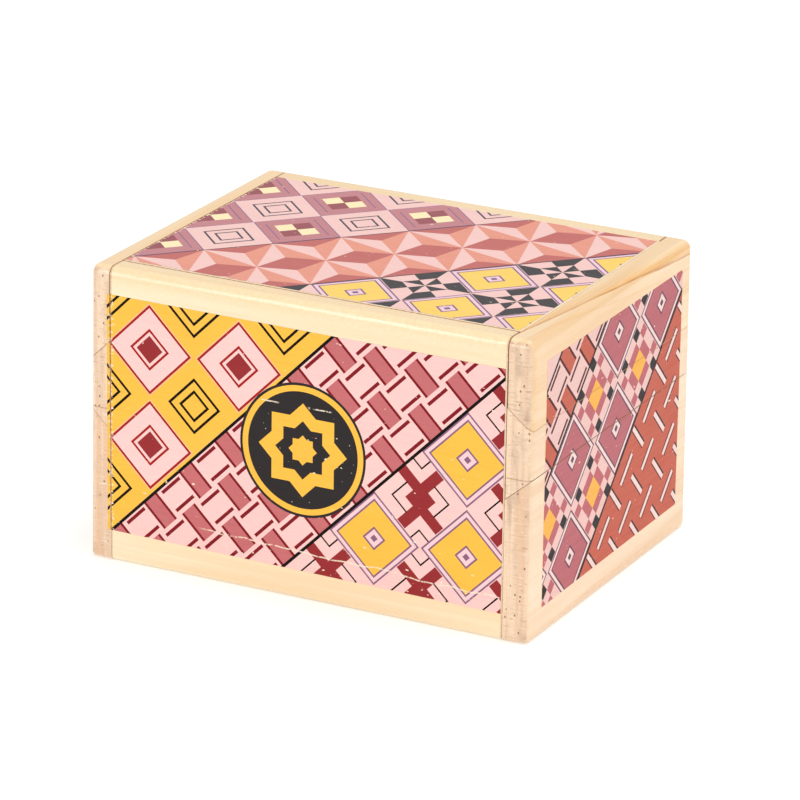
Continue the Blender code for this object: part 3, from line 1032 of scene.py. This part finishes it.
def build_boards(envelope):
    """The boards that make the outside."""
    left_joint = (0, PANEL_LOW.x, 0.30 * MM, 0.5, DIRT)
    right_joint = (0, PANEL_HIGH.x, 0.22 * MM, 0.4, DIRT)
    lid_joint = (1, -SIDE_IN, 0.34 * MM, 1.0, srgb(178, 112, 58))
    # painted shade: a darker amber band along the top edge of the front and back, which holds
    # down the stronger light on their upper part
    painted_top_shade = (2, HEIGHT, 4.6 * MM, 0.55, srgb(244, 206, 150))
    joints_and_top_shade = (painted_top_shade, left_joint, right_joint, lid_joint)
    front = wood("pine_front", 0, *PANEL_WOOD, stains=joints_and_top_shade)
    back = wood("pine_back", 0, *PANEL_WOOD, seed=3.3, stains=joints_and_top_shade)
    lid = wood("pine_lid", 0, *PANEL_WOOD, seed=1.9, stains=(left_joint, lid_joint))
    left_end = PANEL_LOW.x - PANEL_GROWTH
    right_end = PANEL_HIGH.x + PANEL_GROWTH
    groove_y = SIDE_IN + GROOVE_DEPTH
    lip = LID_HIGH.z - LIP
    groove_low = LID_LOW.z - TONGUE_ROOM
    section = [
        (HALF_D, 0.0),
        (HALF_D, HEIGHT),
        (SIDE_IN, HEIGHT),
        (SIDE_IN, lip),
        (groove_y, lip),
        (groove_y, groove_low),
        (SIDE_IN, groove_low),
        (SIDE_IN, 0.0),
    ]
    for side, name, look in ((-1, "front", front), (1, "back", back)):
        outer_board(
            name + "_board", name + "_panel", "casing",
            [(side * y, z) for y, z in section], along_x, left_end, right_end, envelope, look,
        )
    tongue_top = LID_HIGH.z - TONGUE_DROP
    visible_y = SIDE_IN - LID_GAP
    back_half = [
        (LID_HIGH.y, LID_LOW.z),
        (LID_HIGH.y, tongue_top),
        (visible_y, tongue_top),
        (visible_y, HEIGHT),
    ]
    lid_outline = [(-y, z) for y, z in reversed(back_half)] + back_half
    outer_board(
        "lid_board", "top_panel", "lid",
        lid_outline, along_x, left_end, END_IN["right"] - LID_FIT, envelope, lid,
    )
    sanded_copy("bottom_panel", "bottom_board", "casing", back, ARRIS)
    build_end_board("left", -1, envelope)
    build_end_board("right", 1, envelope)


def build_end_board(name, side, envelope):
    """The three strips of one end board."""
    seed = 2.2 if side > 0 else 5.1
    outer = side * HALF_L
    inner = END_IN[name]
    low_out, low_in, high_out, high_in = seam_levels(name)
    stains = ((2, low_out, 0.16 * MM, 0.7, DIRT),)
    upper_look = wood(f"pine_{name}_upper", 1, *RIM_WOOD, ring=side > 0, seed=seed, stains=stains)
    key_look = wood(f"pine_{name}_key", 1, *END_WOOD, seed=seed + 4, stains=stains)
    lower_look = wood(f"pine_{name}_lower", 1, *END_WOOD, seed=seed + 7, stains=stains)
    key_in = inner - side * KEY_FIT
    rail_in = inner - side * RAIL_FIT

    def seam(at_outer, at_inner, x):
        """The height of a slanting seam at x."""
        return at_outer + (at_inner - at_outer) / (inner - outer) * (x - outer)

    key_outline = [
        (outer, low_out + SEAM),
        (outer, high_out - SEAM),
        (key_in, seam(high_out, high_in, key_in) - SEAM),
        (key_in, seam(low_out, low_in, key_in) + SEAM),
    ]
    lower_outline = [
        (outer, 0.0),
        (outer, low_out - SEAM),
        (rail_in, seam(low_out, low_in, rail_in) - SEAM),
        (rail_in, 0.0),
    ]
    upper_outline = [
        (outer, high_out + SEAM),
        (outer, HEIGHT),
        (inner, HEIGHT),
        (inner, high_in + SEAM),
    ]
    for part, outline, body, look in (
        ("upper_rail", upper_outline, RAIL_BODY[name], upper_look),
        ("dovetail_key", key_outline, name + "_key", key_look),
        ("lower_rail", lower_outline, "casing", lower_look),
    ):
        outer_board(
            f"{name}_{part}_strip", f"{name}_{part}", body,
            outline, along_y, -HALF_D, HALF_D, envelope, look,
        )


def build_inside():
    """The pieces that show when the box is open."""
    bass = wood("basswood", 1, *BASSWOOD, rough=0.6, seed=8.0)
    block = wood("basswood_block", 2, *BASSWOOD, rough=0.6, seed=9.0)
    walnut = wood("walnut", 0, *WALNUT, rough=0.5, seed=6.0)
    steel = ground_steel("ground_steel")
    bodies = frame["record"]["behaviour"]["bodies"]
    slots = {s["node"]: s["material_slot"] for s in frame["record"]["subparts"]}
    looks = {"inner_wood": bass, "batten": bass, "key_block": walnut}
    for body, nodes in bodies.items():
        for node in nodes:
            slot = slots[node]
            if slot in SANDED:
                look = block if "block" in node else looks[slot]
                sanded_copy(node, node + "_sanded", body, look, SANDED[slot])
            elif slot == "steel_pin":
                set_look(frame["nodes"][node], steel)


# How far the ink reaches, in millimetres.  Low and high edges are given at the left and right.
PANEL_SIDES = (PANEL_LOW.x / MM, PANEL_HIGH.x / MM)
FRONT_SIDES = (PANEL_SIDES[0] - 0.1, PANEL_SIDES[1] - 0.15)
FRONT_LOW = (5.05, 4.30)
FRONT_HIGH = (45.45, 45.05)
BACK_SIDES = (0.2 - PANEL_SIDES[1], -PANEL_SIDES[0])
TOP_SIDES = (PANEL_SIDES[0], PANEL_SIDES[1] - 0.1)
TOP_LOW = (0.3 - LID_HALF_Y / MM,) * 2
TOP_HIGH = (LID_HALF_Y / MM,) * 2
END_SIDES = (-24.85, 25.95)
END_LOW = (4.50, 4.95)
END_HIGH = (45.60, 45.85)
SPILL = 0.55      # the front's ink runs this far over the joint on the left
SPILL_FIT = 0.02  # it starts this far outside the joint
SPILL_GAP = 0.15  # and stops this far from where the seams meet the joint


def on_front(u, v, up):
    return Vector((u, -HALF_D - up, v))


def on_back(u, v, up):
    return Vector((-u, HALF_D + up, v))


def on_top(u, v, up):
    return Vector((u, v, HEIGHT + up))


def on_right(u, v, up):
    return Vector((HALF_L + up, u, v))


def on_left(u, v, up):
    return Vector((-HALF_L - up, -u, v))


def build_prints():
    """The ink on the five printed faces, cut where one piece meets the next."""
    ragged = (0, PANEL_LOW.x, 0.9 * MM, 0.19)
    low_worn = (2, 6.2 * MM, 3.0 * MM, 0.05)
    front_edge_worn = (1, -LID_HALF_Y, 0.7 * MM, 0.16)
    joint = ((0, PANEL_LOW.x - 0.1 * MM, 0.22 * MM, 1.0, DIRT),)
    front_inks = ink_set(
        "front_ink", FRONT_INKS, 0, worn=(ragged, low_worn), stains=joint, scratched=True
    )
    top_inks = ink_set("top_ink", TOP_INKS, 0, worn=(ragged, front_edge_worn), stains=joint)
    spill_inks = ink_set("spill_ink", FRONT_INKS, 0, worn=(ragged,), stains=joint)
    front = front_pattern()
    front_window = Window(*FRONT_SIDES, FRONT_LOW, FRONT_HIGH)
    back_window = Window(*BACK_SIDES, FRONT_LOW, FRONT_HIGH)
    top_window = Window(*TOP_SIDES, TOP_LOW, TOP_HIGH)
    for face, pattern, window, place, body, inks in (
        ("front", front, front_window, on_front, "casing", front_inks),
        ("back", back_pattern(), back_window, on_back, "casing", front_inks),
        ("top", top_pattern(), top_window, on_top, "lid", top_inks),
    ):
        print_sheet(face + "_print", pattern, window, place, body, inks)
    build_end_prints("right", end_pattern((1.47, 26.10)), on_right)
    build_end_prints("left", end_pattern((-3.4, 24.2)), on_left)
    build_spill(front, spill_inks)


def build_end_prints(name, pattern, place):
    """The ink on the outside of one end board, cut at its seams."""
    low_seam, _, high_seam, _ = seam_levels(name)
    worn = ((2, low_seam, 0.30 * MM, 0.07), (2, high_seam, 0.30 * MM, 0.07))
    stains = ((2, low_seam, 0.16 * MM, 0.8, DIRT), (2, high_seam, 0.12 * MM, 0.4, DIRT))
    inks = ink_set(name + "_ink", END_INKS, 1, worn=worn, stains=stains)

    def level(z):
        """An edge of a window at one height all along."""
        return (z / MM,) * 2

    for part, body, low, high in (
        ("lower_rail", "casing", END_LOW, level(low_seam - SEAM)),
        ("dovetail_key", name + "_key", level(low_seam + SEAM), level(high_seam - SEAM)),
        ("upper_rail", RAIL_BODY[name], level(high_seam + SEAM), END_HIGH),
    ):
        window = Window(*END_SIDES, low, high)
        print_sheet(f"{name}_{part}_print", pattern, window, place, body, inks)


def build_spill(pattern, inks):
    """The front's ink where it runs over the joint on to the edge of the left board."""
    edge = (END_IN["left"] + KEY_FIT) / MM
    _, low_seam, _, high_seam = (z / MM for z in seam_levels("left"))
    for part, body, low, high in (
        ("lower_rail", "casing", FRONT_LOW[0], low_seam - SPILL_GAP),
        ("dovetail_key", "left_key", low_seam - SPILL_GAP, high_seam - SPILL_GAP),
        ("upper_rail", RAIL_BODY["left"], high_seam + SPILL_GAP, FRONT_HIGH[0]),
    ):
        window = Window(edge - SPILL, edge - SPILL_FIT, (low,) * 2, (high,) * 2)
        print_sheet(f"left_{part}_spill", pattern, window, on_front, body, inks)


# ---- stage ----
FLOOR_GLOW = 0.22
SURROUND = 0.49
FLOOR_DROP = 0.2 * MM  # the floor lies this far under the box, clear of its underside


def build_stage():
    """A white floor, a white surround and soft lights."""
    bm = bmesh.new()
    bmesh.ops.create_grid(bm, x_segments=1, y_segments=1, size=3.0)
    floor = link_mesh("studio_floor", bm)
    g = Graph("studio_white")
    tone = g.noise((2, 2, 2), detail=1)
    g.surface(g.mix(tone, srgb(252, 252, 252), srgb(254, 254, 254)), 0.9, 0.1)
    g.shader.inputs["Emission Color"].default_value = (1.0, 1.0, 1.0, 1.0)
    g.shader.inputs["Emission Strength"].default_value = FLOOR_GLOW
    set_look(floor, g.material)
    floor.location.z = -FLOOR_DROP

    world = bpy.data.worlds.new("studio")
    bpy.context.scene.world = world
    world.use_nodes = True
    surround = world.node_tree.nodes["Background"]
    surround.inputs["Color"].default_value = (1.0, 1.0, 1.0, 1.0)
    surround.inputs["Strength"].default_value = SURROUND

    for name, place, target, width, height, power in (
        ("top_light", (0.1, 0.10, 1.25), (0.0, 0.0, 0.02), 0.8, 0.8, 8.2),
        ("edge_light", (-0.49, -0.95, 0.36), (0.0, 0.0, 0.03), 0.07, 0.7, 2.7),
        ("side_light", (1.1, -0.35, 0.55), (0.0, 0.0, 0.02), 0.7, 0.7, 2.3),
    ):
        light = bpy.data.lights.new(name, "AREA")
        light.shape = "RECTANGLE"
        light.size = width
        light.size_y = height
        light.energy = power
        lamp = bpy.data.objects.new(name, light)
        lamp.location = place
        towards = Vector(target) - Vector(place)
        lamp.rotation_euler = towards.to_track_quat("-Z", "Y").to_euler()
        bpy.context.scene.collection.objects.link(lamp)


def build_camera():
    """A long lens, a little above the box and turned towards its right front edge."""
    azimuth = math.radians(26.9)
    elevation = math.radians(19.8)
    roll = math.radians(0.87)
    distance = 0.850
    aim_right, aim_down = 1.22 * MM, 0.58 * MM  # from the middle of the box
    level = math.cos(elevation)
    away = Vector((math.sin(azimuth) * level, -math.cos(azimuth) * level, math.sin(elevation)))
    right = Vector((math.cos(azimuth), math.sin(azimuth), 0.0))
    up = away.cross(right)
    tilted_right = right * math.cos(roll) + up * math.sin(roll)
    tilted_up = up * math.cos(roll) - right * math.sin(roll)
    centre = Vector((0.0, 0.0, HEIGHT / 2)) + tilted_right * aim_right - tilted_up * aim_down
    camera_data = bpy.data.cameras.new("camera")
    camera_data.lens = 234.3  # in millimetres, like the sensor
    camera_data.sensor_width = 36.0
    camera_data.clip_end = 20.0
    camera = bpy.data.objects.new("camera", camera_data)
    turn = Matrix((tilted_right, tilted_up, away)).transposed().to_4x4()
    camera.matrix_world = Matrix.Translation(centre + away * distance) @ turn
    bpy.context.scene.collection.objects.link(camera)
    bpy.context.scene.camera = camera
    bpy.context.scene.view_settings.view_transform = "Standard"


build_camera()
trim_shape = make_envelope()
build_boards(trim_shape)
bpy.data.objects.remove(trim_shape, do_unlink=True)
build_inside()
build_prints()
build_stage()
